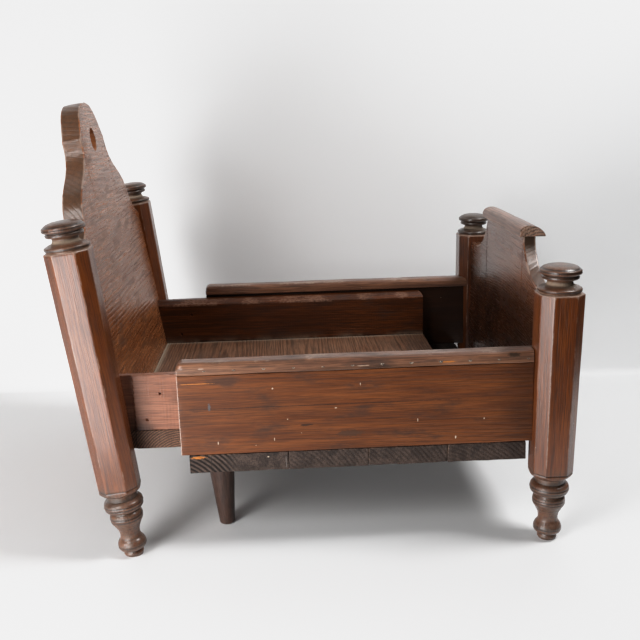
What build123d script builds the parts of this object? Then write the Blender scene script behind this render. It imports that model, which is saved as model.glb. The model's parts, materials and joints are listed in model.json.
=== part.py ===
from build123d import *
import math
import os

# Telescoping doll's bed. Millimetres, +Z up, floor at Z = 0.
# +X points from the headboard to the footboard. Left is -Y and right is +Y,
# as seen from the foot of the bed looking at the headboard.
# Everything is laid out from a datum at the free end of the outer side rails,
# and moved at the end so that the origin is the middle of the bed's footprint.

# Driving dimensions: overall layout
POST_HALF_SPACING = 191.5      # post axis to the centre plane
FOOT_POST_X = 380.0            # foot post axis, from the free end of the outer rails
HEAD_POST_X = -54.4            # head post axis where it meets the floor
POST_RAKE_DEG = 7.1            # head posts lean back by this much
HEADBOARD_RAKE_DEG = 9.1       # the headboard leans a little more than its posts
OUTER_FLOOR_BOTTOM = 89.8      # at the foot posts
TRAY_SLOPE_DEG = 0.5           # both trays fall slightly towards the head
SLIDE_GAP = 1.0                # running clearance between the two trays, at each side
LIFT_GAP = 2.0                 # running clearance between their floors

# Driving dimensions: stock sizes
HEAD_POST_SIZES = (39.5, 42.5)  # across the flats at the shaft's bottom and top
FOOT_POST_SIZES = (41.5, 44.5)
POST_FLAT_SHARE = 0.52         # width of each main face as a share of the size across the flats
RAIL_THICKNESS = 18.0
FLOOR_THICKNESS = 19.8
HEADBOARD_THICKNESS = 21.5
FOOTBOARD_THICKNESS = 14.0
END_BOARD_HALF_WIDTH = 172.5   # visible width of the headboard and footboard, let into the posts
HOUSING_DEPTH = 8.0            # how much further their tongues go into the posts
TONGUE_THICKNESS = 10.0

# Driving dimensions: posts
FOOT_SHAFT_TOP = 266.0
HEAD_SHAFT_TOP = 322.5

# Driving dimensions: outer tray, fixed to the foot posts
OUTER_RAIL_OUTER = 192.0
OUTER_RAIL_HEIGHT = 84.6
CAP_THICKNESS = 13.0
CAP_WIDTH = 23.0
CAP_PROUD = 1.0
OUTER_FLOOR_START = 8.0
OUTER_FLOOR_END = 353.5
OUTER_FLOOR_JOINTS = (109.0, 190.5, 272.0)
RAIL_TENON = (22.0, 10.0, 58.0)  # length, half of it inside the rail, then thickness and height
CAP_NAIL_FIRST = 28.0
CAP_NAIL_PITCH = 29.5
CAP_NAIL_COUNT = 12
CAP_NAIL_RISE = 6.0            # nail heads above the rail's top

# Driving dimensions: inner tray, fixed to the headboard
INNER_RAIL_HEIGHT = 59.5
INNER_RAIL_BEVEL = (9.0, 6.0)  # across and down, on the top edge facing the mattress
INNER_TRAY_END = 304.0
INNER_FLOOR_JOINTS = (22.0, 102.0, 203.0)

# Driving dimensions: headboard, as (half width, height up the board from the deck line)
DECK_LINE_X = -57.0            # front face of the headboard where it crosses the deck line
DECK_LINE_Z = 131.0
HEADBOARD_CREST = ((0, 329), (13, 328), (25, 324.5), (36, 318), (47, 306), (56.5, 292))
HEADBOARD_WAIST = ((58.7, 290.5), (60, 278), (66, 267.5), (80, 256), (98, 246))
HEADBOARD_BULGE = ((98, 246), (113, 236.5), (123.5, 225.5), (129, 213.5))
HEADBOARD_FLARE = ((129, 213.5), (136, 203), (149, 192), (172.5, 181.5))
HOLE_HEIGHT = 287.0
HOLE_RADIUS = 12.0

# Driving dimensions: footboard, as (half width, height above the floor)
FOOTBOARD_NECK = ((82, 304.5), (84, 296), (88, 289), (97, 278), (107, 270), (119, 264),
                  (134, 259.5), (152, 257.5))
FOOTBOARD_CAP_HALF_LENGTH = 88.0
FOOTBOARD_CAP_OUTLINE = ((-12.8, 5), (-10.2, 9.6), (-4.4, 12.2), (2.2, 12.2), (8.8, 9.8), (14.4, 5), (16.6, 1.4))

# Driving dimensions: support pegs
PEG_X = 38.6
PEG_HALF_SPACING = 131.0
PEG_LEAN_DEG = 3.0
PEG_TOP_RADIUS = 15.6
PEG_FOOT_RADIUS = 8.3
PEG_SPIGOT_RADIUS = 9.0
PEG_SPIGOT_LENGTH = 12.0

# Driving dimensions: nails
NAIL_RADIUS = 1.1
NAIL_HEAD_RADIUS = 2.2
NAIL_HEAD_THICKNESS = 1.2
FLOOR_NAIL_LENGTH = 36.0
FLOOR_NAIL_EDGE = 16.0
BOARD_NAIL_LENGTH = 38.0
CAP_NAIL_LENGTH = 22.0
FOOT_CAP_NAIL_LENGTH = 26.0
NAIL_HOLE_RADIUS = 1.1
NAIL_HOLE_DEPTH = 6.0
OLD_NAIL_HOLES = ((-19.5, 170.5), (-34.5, 143.0))

# Worked out from the driving dimensions
OUTER_FLOOR_TOP = OUTER_FLOOR_BOTTOM + FLOOR_THICKNESS
OUTER_RAIL_TOP = OUTER_FLOOR_TOP + OUTER_RAIL_HEIGHT
OUTER_RAIL_INNER = OUTER_RAIL_OUTER - RAIL_THICKNESS
CAP_OUTER = OUTER_RAIL_OUTER + CAP_PROUD
INNER_RAIL_OUTER = OUTER_RAIL_INNER - SLIDE_GAP
INNER_RAIL_INNER = INNER_RAIL_OUTER - RAIL_THICKNESS
INNER_FLOOR_BOTTOM = OUTER_FLOOR_TOP + LIFT_GAP
INNER_FLOOR_TOP = INNER_FLOOR_BOTTOM + FLOOR_THICKNESS
INNER_RAIL_TOP = INNER_FLOOR_TOP + INNER_RAIL_HEIGHT
FOOT_POST_FACE = FOOT_POST_X - FOOT_POST_SIZES[0] / 2
HEADBOARD_BOTTOM = INNER_FLOOR_BOTTOM - (FOOT_POST_X - DECK_LINE_X) * math.tan(math.radians(TRAY_SLOPE_DEG))
FOOTBOARD_BOTTOM = OUTER_FLOOR_BOTTOM
FOOTBOARD_TOP = FOOTBOARD_NECK[0][1]
SIDES = (("left", -1), ("right", 1))

# Turned outline of a post as (radius, height): tip, bulb and waist, ring, then the shaft's shoulder.
FOOT_TIP = ((9.2, 0), (10.1, 2.4), (9.3, 5.0))
FOOT_BULB = ((9.0, 6.2), (13.2, 8.4), (14.7, 12.4), (13.3, 17), (10.9, 20.6), (10.2, 24.6),
             (11.1, 29.6), (13.7, 35.2), (16.4, 40), (17.0, 43.5), (16.2, 47.4), (14.6, 50))
FOOT_RING = ((14.6, 51.2), (18.6, 53.2), (20.2, 57.5), (19.2, 61.8), (15.6, 64.8))
FOOT_SHOULDER = ((15.0, 69.5), (19.8, 72.3), (23.8, 77.5), (25.9, 86))

# Turned outline above the shaft's top: disc, neck, lower bead, then the button.
TOP_DISC = ((20.4, 0.9), (21.9, 2.6), (21.3, 4.8), (17.8, 6.6), (14.0, 7.8))
TOP_NECK = ((14.0, 7.8), (12.7, 9.6), (12.5, 11.6), (13.6, 13.2))
TOP_BEAD = ((13.6, 13.2), (17.2, 13.9), (18.6, 15.8), (17.6, 17.6))
TOP_BUTTON = ((17.9, 18.0), (20.2, 19.3), (20.8, 21.4), (19.6, 23.8), (15.4, 26.4), (8.2, 28.1),
              (0.0, 28.5))


def box(x, y, z):
    """Block between the given low and high limits on each axis."""
    size = [high - low for low, high in (x, y, z)]
    middle = [(high + low) / 2 for low, high in (x, y, z)]
    return Pos(*middle) * Box(*size)


def mirrored(y, side):
    """Limits on Y for the left or right side, from the limits on the right."""
    return tuple(sorted(side * value for value in y))


def sloped(solid):
    """Tip a level tray solid to the trays' slope, about the foot posts at floor board height."""
    pivot = Pos(FOOT_POST_X, 0, OUTER_FLOOR_TOP)
    return pivot * Rot(0, -TRAY_SLOPE_DEG, 0) * pivot.inverse() * solid


def curve(points):
    """Straight line through two points, smooth curve through more."""
    return Line(*points) if len(points) == 2 else Spline(*points)


def outline_edges(runs):
    """Edges along each run of points, joined by straight lines where runs do not touch."""
    edges = []
    end = None
    for run in runs:
        if end is not None and end != run[0]:
            edges.append(Line(end, run[0]))
        edges.append(curve(run))
        end = run[-1]
    return edges


def turned(runs):
    """Solid turned about Z from runs of (radius, height) points."""
    points = [[(radius, 0, height) for radius, height in run] for run in runs]
    edges = outline_edges(points)
    start = points[0][0]
    end = points[-1][-1]
    edges.append(Line(end, (0, 0, end[2])) if end[0] > 0 else None)
    edges.append(Line((0, 0, end[2]), (0, 0, start[2])))
    edges.append(Line((0, 0, start[2]), start))
    wire = Wire([edge for edge in edges if edge is not None])
    return revolve(Face(wire), axis=Axis.Z)


def octagon(size, height):
    """Square with chamfered corners, as a level face at the given height."""
    half = size / 2
    flat = size * POST_FLAT_SHARE / 2
    corners = []
    for turn in range(4):
        angle = math.radians(90 * turn)
        for x, y in ((half, flat), (flat, half)):
            corners.append((x * math.cos(angle) - y * math.sin(angle),
                            x * math.sin(angle) + y * math.cos(angle), height))
    return Face(Wire.make_polygon(corners))


def post(shaft_top, sizes):
    """Tapered, chamfered post with a turned foot and a turned disc and button on top."""
    wide, shoulder = FOOT_SHOULDER[-1]
    shaft = ((wide, shoulder), (wide, shaft_top))
    low_tip = ((FOOT_TIP[0][0] - 0.8, -4.0), FOOT_TIP[0])
    lower = turned([low_tip, FOOT_TIP, FOOT_BULB, FOOT_RING, FOOT_SHOULDER, shaft])
    slope = (sizes[1] - sizes[0]) / (shaft_top - shoulder)
    low = -6.0
    low_size = sizes[0] + slope * (low - shoulder)
    top_size = sizes[1] + slope * 6.0
    stock = loft([octagon(low_size, low), octagon(top_size, shaft_top + 6.0)], ruled=True)
    start = ((TOP_DISC[0][0], shaft_top - 1.0), (TOP_DISC[0][0], shaft_top))
    top = [tuple((radius, height + shaft_top) for radius, height in run)
           for run in (TOP_DISC, TOP_NECK, TOP_BEAD, TOP_BUTTON)]
    return (lower & stock) + turned([start] + top)


def above_floor(solid):
    """Keep what stands above Z = 0, so that a leaning foot sits flat."""
    return solid & box((-400, 600), (-400, 400), (0, 600))


def head_post_blank(side):
    """Head post before its housing is cut."""
    leaning = Rot(0, -POST_RAKE_DEG, 0) * post(HEAD_SHAFT_TOP, HEAD_POST_SIZES)
    return above_floor(Pos(HEAD_POST_X, side * POST_HALF_SPACING, 0) * leaning)


def foot_post_blank(side):
    """Foot post before its mortises are cut."""
    upright = post(FOOT_SHAFT_TOP, FOOT_POST_SIZES)
    return above_floor(Pos(FOOT_POST_X, side * POST_HALF_SPACING, 0) * upright)


def on_headboard(solid):
    """Move a solid from board coordinates to the headboard.

    In board coordinates the front face is X = 0, and Z is the height up the board from the deck line.
    """
    return Pos(DECK_LINE_X, 0, DECK_LINE_Z) * Rot(0, -HEADBOARD_RAKE_DEG, 0) * solid


def symmetric_face(half_runs, bottom, x):
    """Face in the plane X = x from the right half's outline, top first, down to a level bottom."""
    right = [[(x, y, z) for y, z in run] for run in half_runs]
    left = [[(x, -y, z) for y, z in reversed(run)] for run in reversed(half_runs)]
    low_right = (x, right[-1][-1][1], bottom)
    low_left = (x, -right[-1][-1][1], bottom)
    edges = outline_edges(right)
    edges.append(Line(right[-1][-1], low_right))
    edges.append(Line(low_right, low_left))
    edges.append(Line(low_left, left[0][0]))
    edges += outline_edges(left)
    if left[-1][-1] != right[0][0]:
        edges.append(Line(left[-1][-1], right[0][0]))
    return Face(Wire(edges))


def headboard_solid():
    """Shaped board with a round hole near its crest and a tongue down each end."""
    low = -40.0
    half_runs = (HEADBOARD_CREST, HEADBOARD_WAIST, HEADBOARD_BULGE, HEADBOARD_FLARE)
    half_width = END_BOARD_HALF_WIDTH
    face = symmetric_face(half_runs, low, 0)
    board = extrude(face, HEADBOARD_THICKNESS, dir=(-1, 0, 0))
    middle = -HEADBOARD_THICKNESS / 2
    tongue_x = (middle - TONGUE_THICKNESS / 2, middle + TONGUE_THICKNESS / 2)
    tongue_top = HEADBOARD_FLARE[-1][1] - 12
    board += box(tongue_x, (-half_width - HOUSING_DEPTH, half_width + HOUSING_DEPTH), (low, tongue_top))
    hole = Pos(middle, 0, HOLE_HEIGHT) * Rot(0, 90, 0) * Cylinder(HOLE_RADIUS, HEADBOARD_THICKNESS * 2)
    board -= hole
    placed = on_headboard(board)
    return placed & box((-400, 400), (-400, 400), (HEADBOARD_BOTTOM, 600))


def ahead_of_headboard():
    """Large block whose back is the headboard's front face."""
    return on_headboard(box((0, 700), (-400, 400), (-300, 300)))


def footboard_solid():
    """Shaped board with a narrow raised middle, housed in the foot posts at each end."""
    shoulder = (END_BOARD_HALF_WIDTH + HOUSING_DEPTH, FOOTBOARD_NECK[-1][1])
    half_runs = (FOOTBOARD_NECK, (FOOTBOARD_NECK[-1], shoulder))
    front = FOOT_POST_X - FOOTBOARD_THICKNESS / 2
    face = symmetric_face(half_runs, FOOTBOARD_BOTTOM, front)
    return extrude(face, FOOTBOARD_THICKNESS, dir=(1, 0, 0))


def footboard_cap_solid():
    """Roll moulding along the footboard's raised middle, overhanging both faces."""
    points = [(FOOT_POST_X + x, -FOOTBOARD_CAP_HALF_LENGTH, FOOTBOARD_TOP + z)
              for x, z in FOOTBOARD_CAP_OUTLINE]
    base = [(points[-1][0], points[-1][1], FOOTBOARD_TOP), (points[0][0], points[0][1], FOOTBOARD_TOP)]
    edges = [Spline(*points), Line(points[-1], base[0]), Line(base[0], base[1]), Line(base[1], points[0])]
    return extrude(Face(Wire(edges)), 2 * FOOTBOARD_CAP_HALF_LENGTH, dir=(0, 1, 0))


def outer_rail_solid(side, foot_post):
    """Side rail of the outer tray, fitted to the foot post with a tenon."""
    rail = box((0, FOOT_POST_X), mirrored((OUTER_RAIL_INNER, OUTER_RAIL_OUTER), side),
               (OUTER_FLOOR_TOP, OUTER_RAIL_TOP))
    free_end = rail.edges().filter_by(Axis.Z).group_by(Axis.X)[0]
    rail = keep_first(sloped(fillet(free_end, 1.6)) - foot_post)
    length, thickness, height = RAIL_TENON
    start = FOOT_POST_FACE - length / 2
    middle_y = side * (OUTER_RAIL_INNER + OUTER_RAIL_OUTER) / 2
    middle_z = (OUTER_FLOOR_TOP + OUTER_RAIL_TOP) / 2
    tenon = box((start, start + length), (middle_y - thickness / 2, middle_y + thickness / 2),
                (middle_z - height / 2, middle_z + height / 2))
    return rail + sloped(tenon)


def outer_rail_cap_solid(side, foot_post):
    """Rounded strip on top of the outer rail, overhanging inwards over the inner rail."""
    inner = CAP_OUTER - CAP_WIDTH
    strip = box((0, FOOT_POST_X), mirrored((inner, CAP_OUTER), side),
                (OUTER_RAIL_TOP, OUTER_RAIL_TOP + CAP_THICKNESS))
    free_end = strip.edges().filter_by(Axis.Z).group_by(Axis.X)[0]
    strip = fillet(free_end, 4.0)
    top_edges = strip.faces().sort_by(Axis.Z)[-1].edges()
    rounded = [edge for edge in top_edges if edge.bounding_box().min.X < FOOT_POST_X - 1]
    strip = fillet(rounded, 6.0)
    low_edges = strip.faces().sort_by(Axis.Z)[0].edges().filter_by(Axis.X)
    return keep_first(sloped(fillet(low_edges, 1.2)) - foot_post)


def inner_rail_solid(side, head_post):
    """Side rail of the inner tray, coped round the head post and butted on the headboard."""
    rail = box((-120, INNER_TRAY_END), mirrored((INNER_RAIL_INNER, INNER_RAIL_OUTER), side),
               (INNER_FLOOR_TOP, INNER_RAIL_TOP))
    corner = rail.edges().filter_by(Axis.Y).group_by(Axis.X)[-1].sort_by(Axis.Z)[-1]
    rail = fillet(corner, 6.0)
    across, down = INNER_RAIL_BEVEL
    inner = side * INNER_RAIL_INNER
    top = INNER_RAIL_TOP
    wedge = [(-120, inner, top - down), (-120, inner, top), (-120, inner + side * across, top)]
    rail -= extrude(Face(Wire.make_polygon(wedge)), INNER_TRAY_END + 200, dir=(1, 0, 0))
    top_edges = rail.edges().filter_by(Axis.X).group_by(Axis.Z)[-1]
    rail = fillet(max(top_edges, key=lambda edge: abs(edge.center().Y)), 1.2)
    for x, z in OLD_NAIL_HOLES:
        middle = Pos(x, side * (INNER_RAIL_OUTER - NAIL_HOLE_DEPTH / 2 + 1), z)
        rail -= middle * Rot(90, 0, 0) * Cylinder(NAIL_HOLE_RADIUS, NAIL_HOLE_DEPTH + 2)
    return keep_first((sloped(rail) & ahead_of_headboard()) - head_post)


def keep_first(shape):
    """The largest solid of a cut shape, without slivers behind the cutting part."""
    return max(shape.solids(), key=lambda solid: solid.volume)


def board_limits(start, joints, end):
    """Low and high X limit of each cross board, from one end of a floor to the other."""
    stops = (start,) + tuple(joints) + (end,)
    return list(zip(stops[:-1], stops[1:]))


def outer_floor_boards():
    """Cross boards under the outer rails."""
    half = OUTER_RAIL_OUTER
    limits = board_limits(OUTER_FLOOR_START, OUTER_FLOOR_JOINTS, OUTER_FLOOR_END)
    return [sloped(box(x, (-half, half), (OUTER_FLOOR_BOTTOM, OUTER_FLOOR_TOP))) for x in limits]


def inner_floor_boards(head_posts):
    """Cross boards under the inner rails, the first one fitted round the head posts."""
    half = INNER_RAIL_OUTER
    limits = board_limits(-120, INNER_FLOOR_JOINTS, INNER_TRAY_END)
    boards = [sloped(box(x, (-half, half), (INNER_FLOOR_BOTTOM, INNER_FLOOR_TOP))) for x in limits]
    boards[0] = boards[0] & ahead_of_headboard()
    for blank in head_posts:
        boards[0] = keep_first(boards[0] - blank)
    return boards


def peg_solids(side):
    """Tapered leg, and the spigot above it that goes into the floor board."""
    height = OUTER_FLOOR_BOTTOM / math.cos(math.radians(PEG_LEAN_DEG))
    slope = (PEG_TOP_RADIUS - PEG_FOOT_RADIUS) / height
    low = -4.0
    taper = ((PEG_FOOT_RADIUS + slope * low, low), (PEG_FOOT_RADIUS + slope * (height + 4), height + 4))
    place = Pos(PEG_X, side * PEG_HALF_SPACING, 0) * Rot(0, -PEG_LEAN_DEG, 0)
    leg = place * turned([taper])
    above = sloped(box((-400, 600), (-400, 400), (OUTER_FLOOR_BOTTOM, 300)))
    leg = above_floor(leg) - above
    foot_edge = leg.faces().sort_by(Axis.Z)[0].edges()
    leg = fillet(foot_edge, 1.6)
    stub = place * Pos(0, 0, height / 2 + PEG_SPIGOT_LENGTH / 2) * Cylinder(
        PEG_SPIGOT_RADIUS, height + PEG_SPIGOT_LENGTH)
    return leg, stub & above


def nail(length):
    """Round nail with its head's top at the origin and its point down."""
    head = Pos(0, 0, -NAIL_HEAD_THICKNESS / 2) * Cylinder(NAIL_HEAD_RADIUS, NAIL_HEAD_THICKNESS)
    shank = Pos(0, 0, -length / 2) * Cylinder(NAIL_RADIUS, length - 2 * NAIL_RADIUS)
    point = Pos(0, 0, -length + NAIL_RADIUS) * Rot(180, 0, 0) * Cone(NAIL_RADIUS, 0.2, 2 * NAIL_RADIUS)
    return head + shank + point


def floor_nails(limits, bottom, half_spacing):
    """Nails driven up through each cross board into the rails, two at each end of a board."""
    nails = []
    for low, high in limits:
        for x in (low + FLOOR_NAIL_EDGE, high - FLOOR_NAIL_EDGE):
            for _, side in SIDES:
                place = Pos(x, side * half_spacing, bottom) * Rot(180, 0, 0)
                nails.append(sloped(place * nail(FLOOR_NAIL_LENGTH)))
    return nails


def headboard_nails():
    """Nails driven from the headboard's back into the ends of the inner rails."""
    middle = (INNER_RAIL_INNER + INNER_RAIL_OUTER) / 2
    nails = []
    for _, side in SIDES:
        for height in (14.0, 40.0):
            place = Pos(-HEADBOARD_THICKNESS, side * (middle - 2), height) * Rot(0, -90, 0)
            nails.append(on_headboard(place * nail(BOARD_NAIL_LENGTH)))
    return nails


def cap_nails(side):
    """Nails driven at a slant through the cap strip's outer edge into the rail."""
    nails = []
    for index in range(CAP_NAIL_COUNT):
        x = CAP_NAIL_FIRST + index * CAP_NAIL_PITCH
        place = Pos(x, side * (CAP_OUTER - 0.9), OUTER_RAIL_TOP + CAP_NAIL_RISE) * Rot(side * -50, 0, 0)
        nails.append(sloped(place * nail(CAP_NAIL_LENGTH)))
    return nails


def footboard_cap_nails():
    """Nails driven down through the roll moulding into the footboard's top edge."""
    top = FOOTBOARD_TOP + 11.4
    return [Pos(FOOT_POST_X - 1, y, top) * nail(FOOT_CAP_NAIL_LENGTH) for y in (-66, -22, 22, 66)]


def cut_all(solid, tools):
    """Subtract every tool whose box meets the solid's box."""
    own = solid.bounding_box()
    for tool in tools:
        other = tool.bounding_box()
        apart = (other.min.X > own.max.X or other.max.X < own.min.X
                 or other.min.Y > own.max.Y or other.max.Y < own.min.Y
                 or other.min.Z > own.max.Z or other.max.Z < own.min.Z)
        if not apart:
            solid = solid - tool
    return solid


def build_parts():
    """Every piece by node name, in the datum frame; a list holds separate solids in one node."""
    parts = {}
    headboard = headboard_solid()
    footboard = footboard_solid()
    blanks = [head_post_blank(side) for _, side in SIDES]
    board_nails = headboard_nails()
    inner_limits = board_limits(DECK_LINE_X + 4, INNER_FLOOR_JOINTS, INNER_TRAY_END)
    outer_limits = board_limits(OUTER_FLOOR_START, OUTER_FLOOR_JOINTS, OUTER_FLOOR_END)
    inner_nails = floor_nails(inner_limits, INNER_FLOOR_BOTTOM, INNER_RAIL_OUTER - RAIL_THICKNESS / 2)
    outer_nails = floor_nails(outer_limits, OUTER_FLOOR_BOTTOM, OUTER_RAIL_OUTER - RAIL_THICKNESS / 2)
    roll_nails = footboard_cap_nails()

    for (name, side), blank in zip(SIDES, blanks):
        parts["head_post_" + name] = blank - headboard
        rail = inner_rail_solid(side, blank)
        parts["inner_rail_" + name] = cut_all(rail, inner_nails + board_nails)
        foot_blank = foot_post_blank(side)
        outer_rail = outer_rail_solid(side, foot_blank)
        parts["foot_post_" + name] = (foot_blank - footboard) - outer_rail
        strip_nails = cap_nails(side)
        parts["outer_rail_" + name] = cut_all(outer_rail, outer_nails + strip_nails)
        parts["outer_rail_cap_" + name] = cut_all(outer_rail_cap_solid(side, foot_blank), strip_nails)
        parts["outer_rail_cap_nails_" + name] = strip_nails
        leg, stub = peg_solids(side)
        parts["support_peg_" + name] = leg + stub

    parts["headboard"] = cut_all(headboard, board_nails)
    parts["headboard_nails"] = board_nails
    parts["footboard"] = cut_all(footboard, roll_nails)
    parts["footboard_cap"] = cut_all(footboard_cap_solid(), roll_nails)
    parts["footboard_cap_nails"] = roll_nails
    parts["inner_floor_nails"] = inner_nails
    parts["outer_floor_nails"] = outer_nails
    for number, board in enumerate(inner_floor_boards(blanks), 1):
        parts["inner_floor_board_%d" % number] = cut_all(board, inner_nails)
    pegs = [parts["support_peg_" + name] for name, _ in SIDES]
    for number, board in enumerate(outer_floor_boards(), 1):
        parts["outer_floor_board_%d" % number] = cut_all(board, outer_nails + pegs)
    return parts


def as_solids(piece):
    """The separate solids of a piece or of a list of pieces."""
    pieces = piece if isinstance(piece, list) else [piece]
    return [solid for item in pieces for solid in item.solids()]


def main():
    os.makedirs("parts", exist_ok=True)
    parts = {name: as_solids(piece) for name, piece in build_parts().items()}
    boxes = [solid.bounding_box() for solids in parts.values() for solid in solids]
    middle = (min(b.min.X for b in boxes) + max(b.max.X for b in boxes)) / 2
    print("datum is at X = %.3f mm in the part's frame" % -middle)
    for name, solids in parts.items():
        moved = [Pos(-middle, 0, 0) * solid for solid in solids]
        piece = moved[0] if len(moved) == 1 else Compound(children=moved)
        export_step(piece, "parts/" + name + ".step")


main()
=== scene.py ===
import json
import math

import bmesh
import bpy
import numpy as np
from mathutils import Matrix, Vector


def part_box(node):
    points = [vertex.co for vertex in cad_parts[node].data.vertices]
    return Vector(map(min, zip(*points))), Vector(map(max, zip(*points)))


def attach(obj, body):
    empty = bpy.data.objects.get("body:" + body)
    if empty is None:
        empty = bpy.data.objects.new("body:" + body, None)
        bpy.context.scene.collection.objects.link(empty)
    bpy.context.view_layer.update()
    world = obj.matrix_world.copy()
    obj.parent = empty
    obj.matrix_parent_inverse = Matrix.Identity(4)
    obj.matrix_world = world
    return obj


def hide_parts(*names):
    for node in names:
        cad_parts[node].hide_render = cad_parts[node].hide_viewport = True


# Looks of the telescoping doll's bed. Metres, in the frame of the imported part:
# +X from the headboard to the footboard, +Z up, left is -Y.
# Every timber is a fine mesh built over its CAD node, with the grain's ridges, worn edges
# and dents in the mesh itself, and the colour and fibres in its material.

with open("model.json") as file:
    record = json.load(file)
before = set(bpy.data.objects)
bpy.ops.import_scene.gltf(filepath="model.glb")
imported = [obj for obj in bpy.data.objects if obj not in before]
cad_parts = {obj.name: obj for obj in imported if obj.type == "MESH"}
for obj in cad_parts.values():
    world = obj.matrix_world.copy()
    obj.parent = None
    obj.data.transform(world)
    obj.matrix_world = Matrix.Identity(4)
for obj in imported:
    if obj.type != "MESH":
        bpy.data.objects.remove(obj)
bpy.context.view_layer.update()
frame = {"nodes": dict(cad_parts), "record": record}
MM = 0.001
NODES = frame["nodes"]
BODY_OF = {node: body for body, nodes in frame["record"]["behaviour"]["bodies"].items() for node in nodes}
MOUNTS = {mount["name"]: mount for mount in frame["record"]["mounts"]}
SIDES = (("left", -1), ("right", 1))

# Places and angles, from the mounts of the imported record
FOOT_X = MOUNTS["foot_end_foot"]["pos_m"][0]
HEAD_X = MOUNTS["head_end_foot"]["pos_m"][0]
POST_Y = abs(MOUNTS["head_end_foot"]["pos_m"][1])
HOLE = np.array(MOUNTS["hanging_hole"]["pos_m"])
HOLE_AXIS = np.array(MOUNTS["hanging_hole"]["axis"])
HOLE_RADIUS = MOUNTS["hanging_hole"]["dims"]["r_mm"] * MM
BOARD_THICKNESS = MOUNTS["hanging_hole"]["dims"]["length_mm"] * MM
DECK_NORMAL = MOUNTS["mattress_deck"]["axis"]
RAKE = math.atan2(HOLE_AXIS[2], HOLE_AXIS[0])
SLOPE = math.atan2(-DECK_NORMAL[0], DECK_NORMAL[2])
POST_RAKE = math.radians(7.1)
PEG_LEAN = math.radians(3.0)

# A place is a lean towards the head and the point it leans about
TRAY = (SLOPE, np.array((FOOT_X, 0.0, 0.11)))
BOARD_PLACE = (RAKE, HOLE)

# The same outlines as the CAD part, in millimetres, as runs of smooth curve
HEAD_POST = {"top": 322.5, "sizes": (39.5, 42.5)}
FOOT_POST = {"top": 266.0, "sizes": (41.5, 44.5)}
POST_FLAT_SHARE = 0.52
SHOULDER = 86.0
POST_FOOT = (
    ((9.2, 0), (10.1, 2.4), (9.3, 5.0)),
    ((9.0, 6.2), (13.2, 8.4), (14.7, 12.4), (13.3, 17), (10.9, 20.6), (10.2, 24.6),
     (11.1, 29.6), (13.7, 35.2), (16.4, 40), (17.0, 43.5), (16.2, 47.4), (14.6, 50)),
    ((14.6, 51.2), (18.6, 53.2), (20.2, 57.5), (19.2, 61.8), (15.6, 64.8)),
    ((15.0, 69.5), (19.8, 72.3), (23.8, 77.5), (25.9, SHOULDER)),
)
POST_TOP = (
    ((20.4, 0.9), (21.9, 2.6), (21.3, 4.8), (17.8, 6.6), (14.0, 7.8)),
    ((14.0, 7.8), (12.7, 9.6), (12.5, 11.6), (13.6, 13.2)),
    ((13.6, 13.2), (17.2, 13.9), (18.6, 15.8), (17.6, 17.6)),
    ((17.9, 18.0), (20.2, 19.3), (20.8, 21.4), (19.6, 23.8), (15.4, 26.4), (8.2, 28.1), (0.4, 28.5)),
)
FOOT_LINES = (5.6, 12.4, 42.0, 45.0, 50.6, 56.2, 59.4, 65.2, 77.5)
TOP_LINES = (2.7, 15.8, 18.0, 21.4, 24.4)
HOLE_HEIGHT = 287.0
HEADBOARD_OUTLINE = (
    ((0, 329), (13, 328), (25, 324.5), (36, 318), (47, 306), (56.5, 292)),
    ((58.7, 290.5), (60, 278), (66, 267.5), (80, 256), (98, 246)),
    ((98, 246), (113, 236.5), (123.5, 225.5), (129, 213.5)),
    ((129, 213.5), (136, 203), (149, 192), (172.5, 181.5)),
)
FOOTBOARD_OUTLINE = (
    ((0, 304.5), (82, 304.5)),
    ((82.01, 304.4), (84, 296), (88, 289), (97, 278), (107, 270), (119, 264), (134, 259.5), (152, 257.5)),
    ((152, 257.5), (172.5, 257.5)),
)
FOOTBOARD_CAP_PROFILE = (
    (-12.8, 5), (-10.2, 9.6), (-4.4, 12.2), (2.2, 12.2), (8.8, 9.8), (14.4, 5), (16.6, 1.4),
)
PEG_RADII = (8.3, 15.6)

# Where each floor board's tree centre lies: along the bed from the outer tray's free end, and
# for the outer boards also up from their underside, in millimetres
INNER_HEARTS = (3, 30, 128, 250)
OUTER_HEARTS = ((-34, -62), (20, -110), (84, -130), (190, -170))

# In metres, as all that follows
OLD_NAIL_HOLES = ((0.3235, 0.0391), (0.3385, 0.0116))  # back from a rail's free end, up from its bottom
INNER_RAIL_FACE = 36.5 * MM  # from the posts' centre line in to the inner rail's inner face
HEAD_POST_CLEAR = 20.6 * MM  # from a head post's axis to where the boards stop beside it
TENON_START = 20 * MM  # a rail's block stops this far before the foot post's axis
BEVEL_WIDTH = 9 * MM
BEVEL_DEPTH = 6 * MM
NOSE = 6 * MM  # rounding of an inner rail's free end
SAW_PITCH = 3.1 * MM
PEG_SETBACK = 38.6 * MM  # from the outer tray's free end to the pegs' feet
LATHE_SCALE = np.array((4.0, 4.0, 620.0))


# ---------------------------------------------------------------- numbers

PERMUTED = np.random.RandomState(11).permutation(256)
DIRECTIONS = np.random.RandomState(12).normal(size=(256, 3))
DIRECTIONS /= np.linalg.norm(DIRECTIONS, axis=1)[:, None]


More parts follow.
